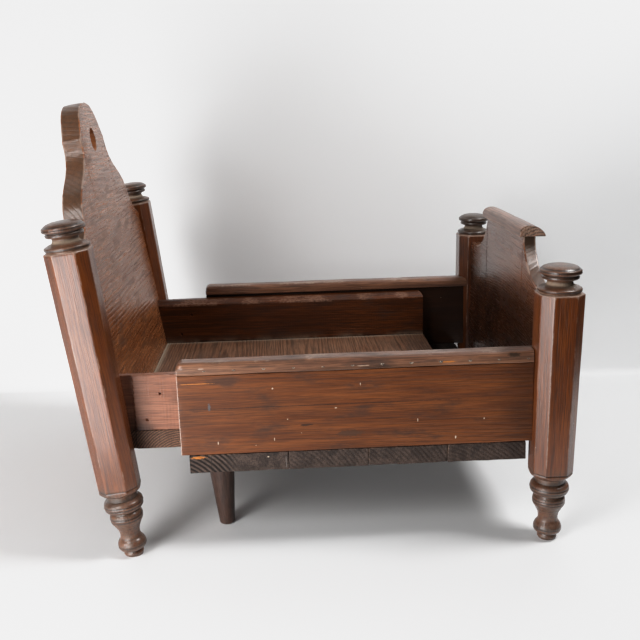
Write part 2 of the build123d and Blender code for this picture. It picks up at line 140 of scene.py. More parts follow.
def noise(points, seed=0):
    """Smooth gradient noise, about -1 to 1, for points in lattice units."""
    moved = points + seed * np.array((17.13, 5.71, 9.37))
    cell = np.floor(moved).astype(int)
    part = moved - cell
    ease = part ** 3 * (part * (part * 6 - 15) + 10)
    total = np.zeros(len(points))
    for corner in range(8):
        step = np.array(((corner >> 2) & 1, (corner >> 1) & 1, corner & 1))
        at = (cell + step) & 255
        pick = PERMUTED[(PERMUTED[(PERMUTED[at[:, 0]] + at[:, 1]) & 255] + at[:, 2]) & 255]
        share = np.prod(np.where(step == 1, ease, 1 - ease), axis=1)
        total += ((part - step) * DIRECTIONS[pick]).sum(1) * share
    return total * 1.6


def fractal(points, seed=0, octaves=3):
    """Noise with finer, weaker noise added."""
    return sum(noise(points * 2 ** n, seed + n) * 0.5 ** n for n in range(octaves))


def smooth_step(value, low, high):
    """0 below low, 1 above high, and eased between."""
    share = np.clip((value - low) / (high - low), 0, 1)
    return share * share * (3 - 2 * share)


def beside(distance, reach):
    """1 at no distance, falling to nothing past a reach in millimetres."""
    return np.exp(-(distance / (reach * MM)) ** 2)


def patches(points, scale, seed, low=-0.5, high=0.4):
    """Soft patches of 1 in a ground of 0."""
    return smooth_step(fractal(points * scale, seed), low, high)


def lean(points, place, back=False):
    """Points leant towards the head by a place's angle, or set upright again."""
    angle, pivot = place
    angle = -angle if back else angle
    flat = points - pivot
    cos, sin = math.cos(angle), math.sin(angle)
    turned = np.stack((cos * flat[:, 0] - sin * flat[:, 2], flat[:, 1],
                       sin * flat[:, 0] + cos * flat[:, 2]), 1)
    return turned + pivot


def local_box(node, place):
    """A CAD node's lowest and highest corner in a leaning place."""
    points = np.array([tuple(v.co) for v in NODES[node].data.vertices])
    level = lean(points, place, back=True)
    return level.min(0), level.max(0)
TRAY_END = local_box("outer_rail_left", TRAY)[0][0]


def curve_through(points, step):
    """Points about a step apart on a smooth curve through the given ones."""
    points = np.array(points, float)
    if len(points) == 2:
        count = max(2, int(np.linalg.norm(points[1] - points[0]) / step) + 1)
        share = np.linspace(0, 1, count)[:, None]
        return points[0] + (points[1] - points[0]) * share
    ends = np.vstack((2 * points[0] - points[1], points, 2 * points[-1] - points[-2]))
    found = []
    for n in range(1, len(ends) - 2):
        a, b, c, d = ends[n - 1:n + 3]
        knots = [0.0]
        for p, q in ((a, b), (b, c), (c, d)):
            knots.append(knots[-1] + np.linalg.norm(q - p) ** 0.5 + 1e-9)
        count = max(2, int(np.linalg.norm(c - b) / step) + 1)
        for t in np.linspace(knots[1], knots[2], count, endpoint=False):
            first = [p + (q - p) * (t - knots[k]) / (knots[k + 1] - knots[k])
                     for k, (p, q) in enumerate(((a, b), (b, c), (c, d)))]
            second = [first[k] + (first[k + 1] - first[k]) * (t - knots[k]) / (knots[k + 2] - knots[k])
                      for k in range(2)]
            found.append(second[0] + (second[1] - second[0]) * (t - knots[1]) / (knots[2] - knots[1]))
    found.append(points[-1])
    return np.array(found)


def profile_points(runs, step):
    """One line of points through runs that each have their own smooth curve."""
    return np.vstack([curve_through(run, step) for run in runs])


def stations(low, high, step, edges=(0.35, 0.9, 1.7)):
    """Positions from low to high, closer together at both ends, in metres."""
    inset = [edge * MM for edge in edges]
    first, last = (low + inset[-1], high - inset[-1]) if inset else (low, high)
    count = max(2, int(round((last - first) / (step * MM))) + 1)
    middle = np.linspace(first, last, count)
    start = [low] + [low + e for e in inset[:-1]] if inset else []
    end = [high - e for e in reversed(inset[:-1])] + [high] if inset else []
    return np.concatenate((start, middle, end))


# ---------------------------------------------------------------- meshes

def lattice_box(xs, ys, zs):
    """The outside of a block of cells, as vertices and outward quads."""
    axes = (np.asarray(xs), np.asarray(ys), np.asarray(zs))
    counts = tuple(len(a) for a in axes)
    quads = []
    for axis in range(3):
        u, v = (axis + 1) % 3, (axis + 2) % 3
        across, along = np.meshgrid(np.arange(counts[u] - 1), np.arange(counts[v] - 1), indexing="ij")
        for end in (0, counts[axis] - 1):
            corners = []
            for du, dv in ((0, 0), (1, 0), (1, 1), (0, 1)):
                index = [None, None, None]
                index[axis] = np.full(across.size, end)
                index[u] = across.ravel() + du
                index[v] = along.ravel() + dv
                corners.append(np.ravel_multi_index(index, counts))
            face = np.stack(corners, 1)
            quads.append(face if end else face[:, ::-1])
    used, flat = np.unique(np.concatenate(quads), return_inverse=True)
    index = np.unravel_index(used, counts)
    points = np.stack([a[i] for a, i in zip(axes, index)], 1)
    return points, flat.reshape(-1, 4)


def skin(rings):
    """A closed tube through rings of equal count, with a fan at each end."""
    rings = np.asarray(rings)
    rows, count = rings.shape[:2]
    points = np.vstack((rings.reshape(-1, 3), rings[0].mean(0), rings[-1].mean(0)))
    here = np.arange(count)
    after = (here + 1) % count
    quads = []
    for row in range(rows - 1):
        low, high = row * count, (row + 1) * count
        quads.append(np.stack((low + here, low + after, high + after, high + here), 1))
    faces = [tuple(quad) for quad in np.concatenate(quads).tolist()]
    base, tip = rows * count, rows * count + 1
    last = (rows - 1) * count
    for a, b in zip(here.tolist(), after.tolist()):
        faces.append((base, b, a))
        faces.append((tip, last + a, last + b))
    return points, faces


def rounded(points, low, high, radius, square=()):
    """Points of a block's surface moved in to round its edges; square names sides left sharp."""
    radius = np.broadcast_to(radius, len(points))[:, None]
    inner_low = np.array(low) + radius
    inner_high = np.array(high) - radius
    for axis, side in square:
        limits = inner_low if side < 0 else inner_high
        limits[:, axis] = -9.0 if side < 0 else 9.0
    core = np.clip(points, inner_low, inner_high)
    out = points - core
    length = np.linalg.norm(out, axis=1)[:, None]
    return np.where(length > 1e-9, core + out / np.maximum(length, 1e-9) * radius, points)


def edge_distance(points, low, high):
    """Distance of each surface point of a block to its nearest edge."""
    gaps = np.minimum(np.abs(points - low), np.abs(high - points))
    return np.sort(gaps, axis=1)[:, 1]


def block(low, high, steps, gap=0.0):
    """A block in cells of about these millimetre sizes, held in by a gap at both its X ends."""
    inset = gap * MM
    xs = stations(low[0] + inset, high[0] - inset, steps[0])
    return lattice_box(xs, stations(low[1], high[1], steps[1]), stations(low[2], high[2], steps[2]))


def vertex_normals(points, faces):
    """Area weighted normals, for quads and triangles."""
    quads = np.array([tuple(f) + (f[-1],) if len(f) == 3 else tuple(f) for f in faces])
    a, b, c, d = (points[quads[:, k]] for k in range(4))
    face = np.cross(c - a, d - b)
    normals = np.zeros_like(points)
    for k in range(4):
        np.add.at(normals, quads[:, k], face)
    return normals / np.maximum(np.linalg.norm(normals, axis=1), 1e-15)[:, None]


def mesh_arrays(mesh):
    """Vertices and faces of a mesh, with faces of five or more sides cut into triangles."""
    work = bmesh.new()
    work.from_mesh(mesh)
    wide = [face for face in work.faces if len(face.verts) > 4]
    bmesh.ops.triangulate(work, faces=wide)
    work.to_mesh(mesh)
    work.free()
    points = np.empty(len(mesh.vertices) * 3)
    mesh.vertices.foreach_get("co", points)
    return points.reshape(-1, 3), [tuple(p.vertices) for p in mesh.polygons]


def new_mesh(name, points, faces):
    """A mesh from vertices and faces, which are an array or a list."""
    faces = faces if isinstance(faces, list) else faces.tolist()
    mesh = bpy.data.meshes.new(name)
    mesh.from_pydata(np.asarray(points).tolist(), [], faces)
    mesh.update()
    return mesh


def timber(along, across, depth, pith, pitch, taper=0.0, seed=0, bow=0.0, wander=0.45):
    """How a piece was cut: its grain axis, then where the tree's centre lies beside and under it."""
    return {"axes": (along, across, depth), "pith": pith, "pitch": pitch * MM, "taper": taper,
            "seed": seed, "bow": bow, "wander": wander}


def growth(points, wood):
    """Grain coordinates (along, across, depth) and the growth ring count at each point."""
    along, across, depth = (points[:, axis] for axis in wood["axes"])
    grain = np.stack((along, across, depth), 1)
    side = across - wood["pith"][0] * MM + wood["taper"] * along + wood["bow"] * along ** 2
    under = depth - wood["pith"][1] * MM + 0.6 * wood["taper"] * along
    ring = np.hypot(side, under) / wood["pitch"]
    ring += wood["wander"] * noise(grain * np.array((6.0, 16.0, 16.0)), wood["seed"])
    ring += 0.10 * noise(grain * np.array((22.0, 70.0, 70.0)), wood["seed"] + 3)
    return grain, ring


def groove(ring, width):
    """1 at the soft middle of each growth ring, 0 at its hard edges."""
    phase = ring - np.floor(ring)
    return np.exp(-((phase - 0.5) / width) ** 2)


def add_field(mesh, name, kind, key, values):
    """Keep a value at each vertex for the materials to read."""
    layer = mesh.attributes.new(name, kind, "POINT")
    layer.data.foreach_set(key, values.astype(np.float32).ravel())


def finish_piece(node, shape, place, wood, look, relief=None, corner=(0.0, 0.0, 0.0), **fields):
    """Give a level mesh its relief, stand it in its place and let it stand for its CAD node.
    Marks are measured from the corner. The fields are wear, dust, tone and faint, 0 where not given."""
    points, faces = shape
    spot = points - np.array(corner)
    grain, fields["ring"] = growth(points, wood)
    if relief is not None:
        normals = vertex_normals(points, faces)
        points = points + normals * (relief(points, normals, fields["ring"]) * MM)[:, None]
    placed = lean(points, place) if place is not None else points
    placed[:, 2] = np.maximum(placed[:, 2], 0.0)
    mesh = new_mesh(node + "_timber", placed, faces)
    piece = bpy.data.objects.new(node + "_timber", mesh)
    bpy.context.scene.collection.objects.link(piece)
    mesh.polygons.foreach_set("use_smooth", [True] * len(mesh.polygons))
    mesh.set_sharp_from_angle(angle=math.radians(48))
    for name in ("ring", "wear", "dust", "tone", "faint"):
        add_field(mesh, name, "FLOAT", "value", np.broadcast_to(fields.get(name, 0.0), len(points)))
    offset = np.array((0.37, 0.11, 0.23)) * (wood["seed"] + 1)
    add_field(mesh, "grain", "FLOAT_VECTOR", "vector", grain + offset)
    add_field(mesh, "spot", "FLOAT_VECTOR", "vector", spot)
    mesh.materials.append(look)
    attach(piece, BODY_OF[node])
    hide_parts(node)


# ---------------------------------------------------------------- materials

class Shader:
    """A material's nodes, built by short calls."""

    def __init__(self, name):
        self.material = bpy.data.materials.new(name)
        self.material.use_nodes = True
        self.tree = self.material.node_tree
        self.tree.nodes.clear()

    def put(self, value, socket):
        if isinstance(value, bpy.types.NodeSocket):
            self.tree.links.new(value, socket)
        elif isinstance(value, (tuple, list)) and len(value) == 3 and socket.type == "RGBA":
            socket.default_value = (*value, 1.0)
        else:
            socket.default_value = value

    def node(self, kind, inputs=(), output=0, **settings):
        made = self.tree.nodes.new(kind)
        for name, value in settings.items():
            setattr(made, name, value)
        for key, value in dict(inputs).items():
            self.put(value, made.inputs[key])
        return made.outputs[output]

    def attribute(self, name, output="Fac"):
        return self.node("ShaderNodeAttribute", attribute_name=name, output=output)

    def math(self, operation, a, b=0.0, clamp=False):
        return self.node("ShaderNodeMath", {0: a, 1: b}, operation=operation, use_clamp=clamp)

    def plus(self, a, b):
        return self.math("ADD", a, b)

    def times(self, a, b):
        return self.math("MULTIPLY", a, b)

    def rest(self, value, clamp=False):
        """What is left of 1."""
        return self.math("SUBTRACT", 1.0, value, clamp)

    def swing(self, value, reach):
        """A noise value spread either side of zero."""
        return self.times(self.math("SUBTRACT", value, 0.5), reach)

    def stretch(self, vector, factors):
        return self.node("ShaderNodeVectorMath", {0: vector, 1: factors}, operation="MULTIPLY")

    def noise(self, vector, factors, detail=3.0, roughness=0.55):
        inputs = {"Vector": self.stretch(vector, factors), "Scale": 1.0, "Detail": detail,
                  "Roughness": roughness}
        return self.node("ShaderNodeTexNoise", inputs)

    def band(self, value, low, high):
        inputs = {"Value": value, "From Min": low, "From Max": high, "To Min": 0.0, "To Max": 1.0}
        return self.node("ShaderNodeMapRange", inputs, interpolation_type="SMOOTHSTEP")

    def mix(self, share, low, high):
        return self.node("ShaderNodeMix", {0: share, 6: low, 7: high}, output=2, data_type="RGBA")

    def specks(self, vector, factors, size, rarity):
        """Small round marks in a few cells of a random pattern."""
        cell = self.tree.nodes.new("ShaderNodeTexVoronoi")
        self.put(self.stretch(vector, factors), cell.inputs["Vector"])
        cell.inputs["Scale"].default_value = 1.0
        pick = self.node("ShaderNodeSeparateColor", {0: cell.outputs["Color"]})
        close = self.math("LESS_THAN", cell.outputs["Distance"], size)
        return self.times(close, self.math("GREATER_THAN", pick, rarity))

    def surface(self, colour, roughness, height, bump, coat=0.0, coat_roughness=0.3, specular=0.5):
        """A glossy surface; returns its shader."""
        normal = self.node("ShaderNodeBump", {"Height": height, "Strength": 1.0, "Distance": bump * MM})
        inputs = {"Base Color": colour, "Roughness": roughness, "Normal": normal, "Coat Weight": coat,
                  "Coat Roughness": coat_roughness, "Specular IOR Level": specular}
        return self.node("ShaderNodeBsdfPrincipled", inputs)

    def finish(self, shader):
        output = self.tree.nodes.new("ShaderNodeOutputMaterial")
        self.put(shader, output.inputs["Surface"])
        return self.material


def add_marks(s, colour, grit, marks):
    """Small ragged marks over a colour, each round its centre."""
    spot = s.attribute("spot", "Vector")
    for centre, size, tint in marks:
        centre = tuple(c * MM for c in centre)
        away = s.node("ShaderNodeVectorMath", {0: spot, 1: centre}, operation="SUBTRACT")
        away = s.stretch(away, tuple(1.0 / (c * MM) for c in size))
        reach = s.node("ShaderNodeVectorMath", {0: away}, output=1, operation="LENGTH")
        reach = s.plus(reach, s.swing(grit, 1.6))
        colour = s.mix(s.rest(s.band(reach, 0.65, 1.1)), colour, tint)
    return colour


def wood_look(name, base, light, dark, worn, rings=0.25, ring_width=0.16, streaks=0.8, grime=0.5,
              roughness=0.36, coat=0.2, bump=0.25, specular=0.4, fine=1.0, contrast=0.6, marks=()):
    """Old stained wood: streaks, fibres and growth rings, dirt, worn edges, dust and small marks, and the
    painted shade and light that some pieces carry in their tone and wear.
    """
    s = Shader(name)
    grain = s.attribute("grain", "Vector")
    fibre = s.noise(grain, (30, 900 * fine, 900 * fine), 3.0, 0.6)
    streak = s.noise(grain, (14, 420 * fine, 420 * fine), 4.0, 0.7)
    moved = s.node("ShaderNodeVectorMath", {0: grain, 1: (0.7, 0.3, 0.9)})
    broad = s.noise(moved, (8, 90, 90), 4.0, 0.6)
    blotch = s.noise(grain, (22, 55, 55), 4.0, 0.6)
    grit = s.noise(grain, (300, 700, 700), 3.0, 0.6)
    ring = s.plus(s.attribute("ring"), s.swing(broad, 0.8))
    gap = s.math("ABSOLUTE", s.math("SUBTRACT", s.math("FRACT", ring), 0.5))
    line = s.rest(s.band(gap, ring_width * 0.3, ring_width * 1.6))
    line = s.times(line, s.rest(s.attribute("faint")))
    # Tone lightens or darkens the colour; on some pieces it carries painted shade and painted light.
    tone = s.attribute("tone")
    dirt = tuple(0.45 * c + 0.012 for c in dark)
    darkest = tuple(0.3 * c for c in dark)
    layers = (
        (s.band(broad, 0.38, 0.64), streaks, light), (s.band(streak, 0.49, 0.62), contrast, dark),
        (line, rings, dark), (s.band(fibre, 0.49, 0.58), 0.5, dark),
        (s.band(blotch, 0.52, 0.72), grime, dirt), (s.band(tone, 0.0, 1.0), 0.8, light),
        (s.band(s.times(tone, -1.0), 0.0, 1.0), 0.9, darkest),
    )
    colour = base
    for share, most, tint in layers:
        colour = s.mix(s.times(share, most), colour, tint)
    # Wear mixes in the worn colour; on the rail caps' tops and the outer rails' free ends it is partly a
    # painted sheen and highlight.
    rubbed = s.band(s.plus(s.attribute("wear"), s.swing(grit, 0.9)), 0.35, 0.75)
    colour = s.mix(rubbed, colour, worn)
    flecks = s.specks(grain, (150, 230, 230), 0.10, 0.985)
    colour = s.mix(s.times(flecks, 0.7), colour, FLECK)
    colour = add_marks(s, colour, grit, marks)
    settled = s.math("MULTIPLY", s.attribute("dust"), s.plus(grit, 0.5), clamp=True)
    colour = s.mix(settled, colour, DUSTY)
    shine = s.plus(roughness, s.swing(streak, 0.3))
    shine = s.plus(shine, s.times(s.band(blotch, 0.5, 0.8), 0.15))
    shine = s.plus(shine, s.times(rubbed, 0.15))
    shine = s.math("ADD", shine, s.times(settled, 0.6), clamp=True)
    height = s.plus(s.times(fibre, -0.5), s.times(line, -0.35))
    height = s.plus(height, s.times(streak, -0.4))
    height = s.plus(height, s.times(grit, 0.12))
    clean = s.rest(s.times(settled, 2.0), clamp=True)
    return s.finish(s.surface(colour, shine, height, bump, s.times(clean, coat), 0.25, specular))


def iron_look():
    """Small darkened nail heads, rubbed bright in spots."""
    s = Shader("iron_nails")
    where = s.node("ShaderNodeTexCoord", output="Object")
    patch = s.noise(where, (900, 900, 900))
    colour = s.mix(s.band(patch, 0.45, 0.62), (0.045, 0.03, 0.022), (0.34, 0.26, 0.19))
    roughness = s.plus(0.4, s.times(patch, 0.4))
    return s.finish(s.surface(colour, roughness, patch, 0.2, specular=0.6))


DUSTY = (0.30, 0.235, 0.175)
FLECK = (0.50, 0.40, 0.30)
CREAM = (0.50, 0.40, 0.31)
ORANGE = (0.42, 0.16, 0.04)
SOOT = (0.020, 0.014, 0.012)
RAIL = {"base": (0.128, 0.041, 0.0145), "light": (0.215, 0.072, 0.022), "dark": (0.047, 0.0195, 0.0105),
        "worn": (0.42, 0.32, 0.27), "rings": 0.10, "streaks": 0.7, "grime": 0.6, "roughness": 0.40,
        "coat": 0.05, "specular": 0.3, "fine": 1.5, "contrast": 0.45}
# The caps' worn colour is a pale grey; on the rail caps' tops it is also a painted sheen.
CAP = {"base": (0.160, 0.076, 0.047), "light": (0.29, 0.140, 0.078), "dark": (0.040, 0.022, 0.0155),
       "worn": (0.30, 0.21, 0.16), "rings": 0.15, "streaks": 0.7, "grime": 0.6, "roughness": 0.34,
       "coat": 0.35, "fine": 1.2}
FLOOR_ENDS = {"base": (0.046, 0.031, 0.025), "light": (0.115, 0.078, 0.062),
              "dark": (0.010, 0.0065, 0.0055), "worn": (0.22, 0.13, 0.08), "ring_width": 0.24,
              "streaks": 0.6, "fine": 1.5, "roughness": 0.6, "coat": 0.0, "bump": 0.5, "specular": 0.25}
BOARD = {"base": (0.255, 0.088, 0.031), "light": (0.37, 0.150, 0.062), "dark": (0.075, 0.026, 0.010),
         "worn": (0.25, 0.17, 0.13), "streaks": 0.7, "grime": 0.5, "roughness": 0.26, "coat": 0.15,
         "specular": 0.5, "fine": 0.9}
INNER_RAIL = {"rings": 0.12, "grime": 0.4, "roughness": 0.38, "coat": 0.1, "specular": 0.35, "fine": 1.1}
# Small marks in millimetres: centre from the piece's lowest corner, half size, colour.
# The headboard's are from the middle of its hole.
RAIL_MARKS = (
    ((125, 0, 49), (165, 5, 0.35), SOOT), ((20, 0, 76), (17, 5, 0.5), ORANGE),
    ((95, 0, 68), (1.0, 5, 0.9), CREAM), ((158, 0, 45), (1.3, 5, 0.7), CREAM),
    ((38, 0, 12), (0.5, 5, 2.4), CREAM), ((183, 0, 69), (0.4, 5, 1.7), CREAM),
    ((109, 0, 35), (0.6, 5, 0.5), CREAM), ((95, 0, 14), (0.4, 5, 1.8), CREAM),
    ((241, 0, 28), (0.45, 5, 1.8), CREAM), ((280, 0, 8), (0.7, 5, 1.9), CREAM),
    ((309, 0, 27), (0.6, 5, 1.0), CREAM), ((128, 0, 28), (7, 5, 1.2), (0.05, 0.024, 0.015)),
    ((31, 0, 51), (1.5, 5, 4), (0.10, 0.085, 0.085)), ((172, 0, 17), (14, 5, 4), (0.075, 0.034, 0.019)),
)
CAP_MARKS = (
    ((271, 0, 4.5), (8, 9, 0.9), ORANGE), ((186, 0, 4), (7, 9, 0.6), (0.36, 0.26, 0.19)),
    ((25, 0, 7), (3, 9, 0.8), (0.34, 0.25, 0.2)), ((338, 0, 9), (7, 12, 2.2), (0.05, 0.03, 0.02)),
)
END_MARKS = (
    ((22, 0, 10), (0.35, 9, 12), SOOT), ((9, 0, 17), (8, 9, 1.6), ORANGE),
    ((80, 0, 15), (0.8, 9, 0.8), CREAM), ((98, 0, 9), (0.3, 9, 9), (0.16, 0.14, 0.13)),
)
BOARD_MARKS = (
    ((0, -30, -60), (9, 2.0, 3.0), SOOT), ((0, 60, -70), (9, 1.5, 3.5), SOOT),
    ((0, 20, -98), (9, 2.0, 4.0), SOOT), ((0, 8, -112), (9, 1.5, 5.0), SOOT),
    ((0, -40, -118), (9, 2.2, 1.0), SOOT), ((0, -52, -119), (9, 2.2, 1.0), SOOT),
)
LOOKS = {
    "rail": wood_look("stained_rail", **RAIL),
    "near_rail": wood_look("marked_rail", marks=RAIL_MARKS, **RAIL),
    "inner_rail": wood_look("stained_inner_rail", (0.070, 0.0185, 0.0036), (0.135, 0.037, 0.0075),
                            (0.024, 0.0080, 0.0032), (0.20, 0.10, 0.06), **INNER_RAIL),
    "inner_rail_outside": wood_look("red_inner_rail", (0.285, 0.118, 0.066), (0.37, 0.168, 0.100),
                                    (0.15, 0.060, 0.036), (0.40, 0.28, 0.22), **INNER_RAIL),
    "cap": wood_look("worn_cap", **CAP),
    "near_cap": wood_look("marked_cap", marks=CAP_MARKS, **CAP),
    "inner_floor": wood_look("dusty_floor", (0.190, 0.085, 0.043), (0.24, 0.125, 0.072),
                             (0.030, 0.011, 0.0045), (0.22, 0.15, 0.11), rings=0.55, ring_width=0.14,
                             streaks=0.5, grime=0.3, roughness=0.52, coat=0.0, bump=0.4, contrast=0.35),
    "first_end": wood_look("marked_end_grain", rings=0.75, marks=END_MARKS, **FLOOR_ENDS),
    "plain_end": wood_look("end_grain", rings=0.2, **FLOOR_ENDS),
    "footboard": wood_look("dark_board", (0.135, 0.046, 0.017), (0.21, 0.080, 0.032), (0.045, 0.016, 0.007),
                           (0.25, 0.17, 0.13), rings=0.3, streaks=0.6, grime=0.3, roughness=0.25,
                           coat=0.35, specular=0.5, fine=0.9),
    "headboard": wood_look("marked_board", rings=0.3, marks=BOARD_MARKS, **BOARD),
    "post": wood_look("turned_post", (0.135, 0.034, 0.0055), (0.240, 0.070, 0.0115), (0.036, 0.011, 0.0042),
                      (0.22, 0.13, 0.09), rings=0.05, streaks=0.4, grime=0.3, roughness=0.34, coat=0.85,
                      bump=0.8, fine=1.3),
    "peg": wood_look("support_peg", (0.050, 0.025, 0.0175), (0.080, 0.041, 0.029), (0.022, 0.012, 0.0085),
                     (0.12, 0.08, 0.06), rings=0.1, grime=0.4, roughness=0.42, coat=0.1, specular=0.35),
}


# ---------------------------------------------------------------- pieces

def worn_arris(points, low, high, seed, reach=1.6):
    """Wear along a block's edges, in patches."""
    return beside(edge_distance(points, low, high), reach) * patches(points, 60, seed, -0.5, 0.5)


def block_radius(points, seed, least=0.7, most=1.8):
    """Edge radius that changes along an old edge."""
    return (least + (most - least) * smooth_step(noise(points * 45, seed), -0.4, 0.8)) * MM


def headboard_front_x(z):
    """X, in the trays' place, of the headboard's front face at a height in that place."""
    angle, pivot = TRAY
    cos, sin = math.cos(angle), math.sin(angle)
    normal = np.array((cos * HOLE_AXIS[0] + sin * HOLE_AXIS[2], -sin * HOLE_AXIS[0] + cos * HOLE_AXIS[2]))
    on_front = HOLE + HOLE_AXIS * BOARD_THICKNESS / 2
    offset = float(np.dot(pivot - on_front, HOLE_AXIS))
    return pivot[0] - ((z - pivot[2]) * normal[1] + offset) / normal[0]


def post_size(post, z):
    """Size across the flats of a post at a height, in metres."""
    low, high = post["sizes"]
    share = (z / MM - SHOULDER) / (post["top"] - SHOULDER)
    return (low + (high - low) * share) * MM


def foot_post_face_x(points):
    """X of the foot post's surface that faces the head, at each point's Y and Z."""
    half = post_size(FOOT_POST, points[:, 2]) / 2
    flat = half * POST_FLAT_SHARE
    aside = np.abs(np.abs(points[:, 1]) - POST_Y)
    return FOOT_X - np.minimum(half, half + flat - aside)


def meet_headboard(points, low, high):
    """Points of a block stretched along X to the headboard's face, and kept clear of the head post."""
    out = points.copy()
    share = (high[0] - points[:, 0]) / (high[0] - low[0])
    out[:, 0] = high[0] - share * (high[0] - headboard_front_x(points[:, 2]))
    close = out[:, 0] < headboard_front_x(0.16) + 14 * MM
    kept = np.sign(out[:, 1]) * np.minimum(np.abs(out[:, 1]), POST_Y - HEAD_POST_CLEAR)
    out[:, 1] = np.where(close, kept, out[:, 1])
    return out


def meet_foot_post(points, low, high):
    """Points of a block stretched along X to the foot post's faces."""
    out = points.copy()
    share = (points[:, 0] - low[0]) / (high[0] - low[0])
    out[:, 0] = low[0] + share * (foot_post_face_x(points) - low[0])
    return out


def end_grain_relief(points, normals, ring, depth):
    """Grooves that show where a board's end is seen, and hardly at all on its faces."""
    facing = np.abs(normals[:, 1]) ** 2
    rough = fractal(points * 160, 5, 2)
    return -facing * depth * (groove(ring, 0.22) + 0.35 * rough + 0.3)


def inner_floor_board(number, heart):
    """One of the dry ridged boards across the inner tray."""
    node = "inner_floor_board_%d" % number
    low, high = local_box(node, TRAY)
    points, faces = block(low, high, (0.62, 6.0, 0.9), gap=0.35)
    wear = worn_arris(points, low, high, number) * 0.6
    points = rounded(points, low, high, block_radius(points, number, 0.4, 1.0))
    if number == 1:
        points = meet_headboard(points, low, high)
    pith = (TRAY_END / MM + heart, low[2] / MM - 26)
    wood = timber(1, 0, 2, pith, 2.5, taper=0.012 * (-1) ** number, seed=number)

    def relief(points, normals, ring):
        top = np.clip(normals[:, 2], 0, 1)
        plain = smooth_step(np.abs(points[:, 0] - pith[0] * MM), 10 * MM, 26 * MM)
        ridges = -0.34 * top * plain * groove(ring, 0.2)
        hollow = 0.25 * top * (fractal(points * 14, number) - 0.6)
        return ridges + hollow + end_grain_relief(points, normals, ring, 0.5)

    aside = np.abs(points[:, 1])
    inner_face = POST_Y - INNER_RAIL_FACE
    corner = beside(np.maximum(inner_face - aside, 0), 3.2)
    behind = beside(np.maximum(points[:, 0] - headboard_front_x(points[:, 2]), 0), 4.5)
    top = (points[:, 2] > high[2] - 2 * MM) & (aside < inner_face + MM)
    thin = 0.45 + 0.35 * fractal(points * 30, 8)
    dust = np.where(top, np.clip(0.14 * thin + 0.75 * corner + 1.1 * behind, 0, 1), 0.0)
    _, ring = growth(points, wood)
    tone = np.where(aside > inner_face + 2 * MM, 0.15 - 1.2 * groove(ring, 0.26), 0.0)
    finish_piece(node, (points, faces), TRAY, wood, LOOKS["inner_floor"], relief,
                 wear=wear, dust=dust, tone=tone)


def outer_floor_board(number, across, under):
    """One of the boards under the outer rails, rough and dark where its end grain shows."""
    node = "outer_floor_board_%d" % number
    seed = number + 10
    low, high = local_box(node, TRAY)
    points, faces = block(low, high, (0.8, 8.0, 0.8), gap=0.3)
    wear = worn_arris(points, low, high, seed) * 0.5
    points = rounded(points, low, high, block_radius(points, seed, 0.5, 2.2))
    pith = (TRAY_END / MM + across, low[2] / MM + under)
    wood = timber(1, 0, 2, pith, 4.2, taper=0.01, seed=seed)
    clear = smooth_step(-points[:, 0], -TRAY_END - 62 * MM, -TRAY_END - 40 * MM)

    def relief(points, normals, ring):
        ragged = np.abs(normals[:, 2]) * -0.25 * (1 + fractal(points * 40, number))
        return ragged + end_grain_relief(points, normals, ring, 0.12 + 0.63 * clear)

    _, ring = growth(points, wood)
    tone = clear * (0.65 - 1.1 * groove(ring, 0.26))
    first = number == 1
    finish_piece(node, (points, faces), TRAY, wood, LOOKS["first_end" if first else "plain_end"],
                 relief, low, wear=wear, tone=tone, faint=(1 - clear) * first)


def nail_pit(points, x, z):
    """Depth in millimetres of an old nail hole in a rail's faces."""
    away = np.hypot(points[:, 0] - x, points[:, 2] - z)
    return 2.6 * smooth_step(-away, -1.5 * MM, -0.9 * MM)


def inner_rail(name, side, seed):
    """A rail of the inner tray, with a wide bevel on the edge that faces the mattress."""
    node = "inner_rail_" + name
    low, high = local_box(node, TRAY)
    xs, zs = stations(low[0], high[0], 0.95), stations(low[2], high[2], 2.0)
    close = np.arange(-2.4, 2.5, 0.4) * MM
    for back, up in OLD_NAIL_HOLES:
        xs = np.concatenate((xs, high[0] - back + close))
        zs = np.concatenate((zs, low[2] + up + close))
    points, faces = lattice_box(np.unique(xs), stations(low[1], high[1], 1.5), np.unique(zs))
    wear = worn_arris(points, low, high, seed) * 0.5
    points = rounded(points, low, high, block_radius(points, seed, 0.6, 1.4), square=((0, -1),))
    inner = np.abs(points[:, 1]) - min(abs(low[1]), abs(high[1]))
    drop = BEVEL_DEPTH * np.clip(1 - inner / BEVEL_WIDTH, 0, 1)
    nose = np.clip(points[:, 0] - (high[0] - NOSE), 0, NOSE)
    drop = np.maximum(drop, NOSE - np.sqrt(NOSE ** 2 - nose ** 2))
    share = (points[:, 2] - low[2]) / (high[2] - low[2])
    points[:, 2] -= drop * share
    points = meet_headboard(points, low, high)
    bevel = (share > 0.97) & (inner < BEVEL_WIDTH + 0.5 * MM)
    wear = np.where(bevel, 0.25 + 0.3 * patches(points, 35, seed, -0.3, 0.6), wear)
    wood = timber(0, 2, 1, (low[2] / MM - 40, side * 130), 3.4, taper=0.015, seed=seed)
    phase = points[:, 0] * 2 * math.pi / SAW_PITCH
    sawn = np.sin(phase + 3 * noise(points * np.array((40, 10, 12)), seed))

    def relief(points, normals, ring):
        holes = sum(nail_pit(points, high[0] - back, low[2] + up) for back, up in OLD_NAIL_HOLES)
        return -0.08 * groove(ring, 0.2) + 0.12 * (fractal(points * 18, seed) - 0.6) + 0.04 * sawn - holes

    foot = np.exp(-(points[:, 2] - low[2]) / (3 * MM))
    dust = 0.5 * foot * (inner < 1 * MM) * patches(points, 40, 3, -0.6, 0.4)
    marked = 0.14 * sawn * patches(points, 45, seed, -0.5, 0.9) + 0.55 * fractal(points * 30, seed + 4)
    tone = np.where(inner < BEVEL_WIDTH, -0.25, marked - 0.5 * foot - 0.1)
    look = LOOKS["inner_rail_outside" if side < 0 else "inner_rail"]
    finish_piece(node, (points, faces), TRAY, wood, look, relief, wear=wear, dust=dust, tone=tone)


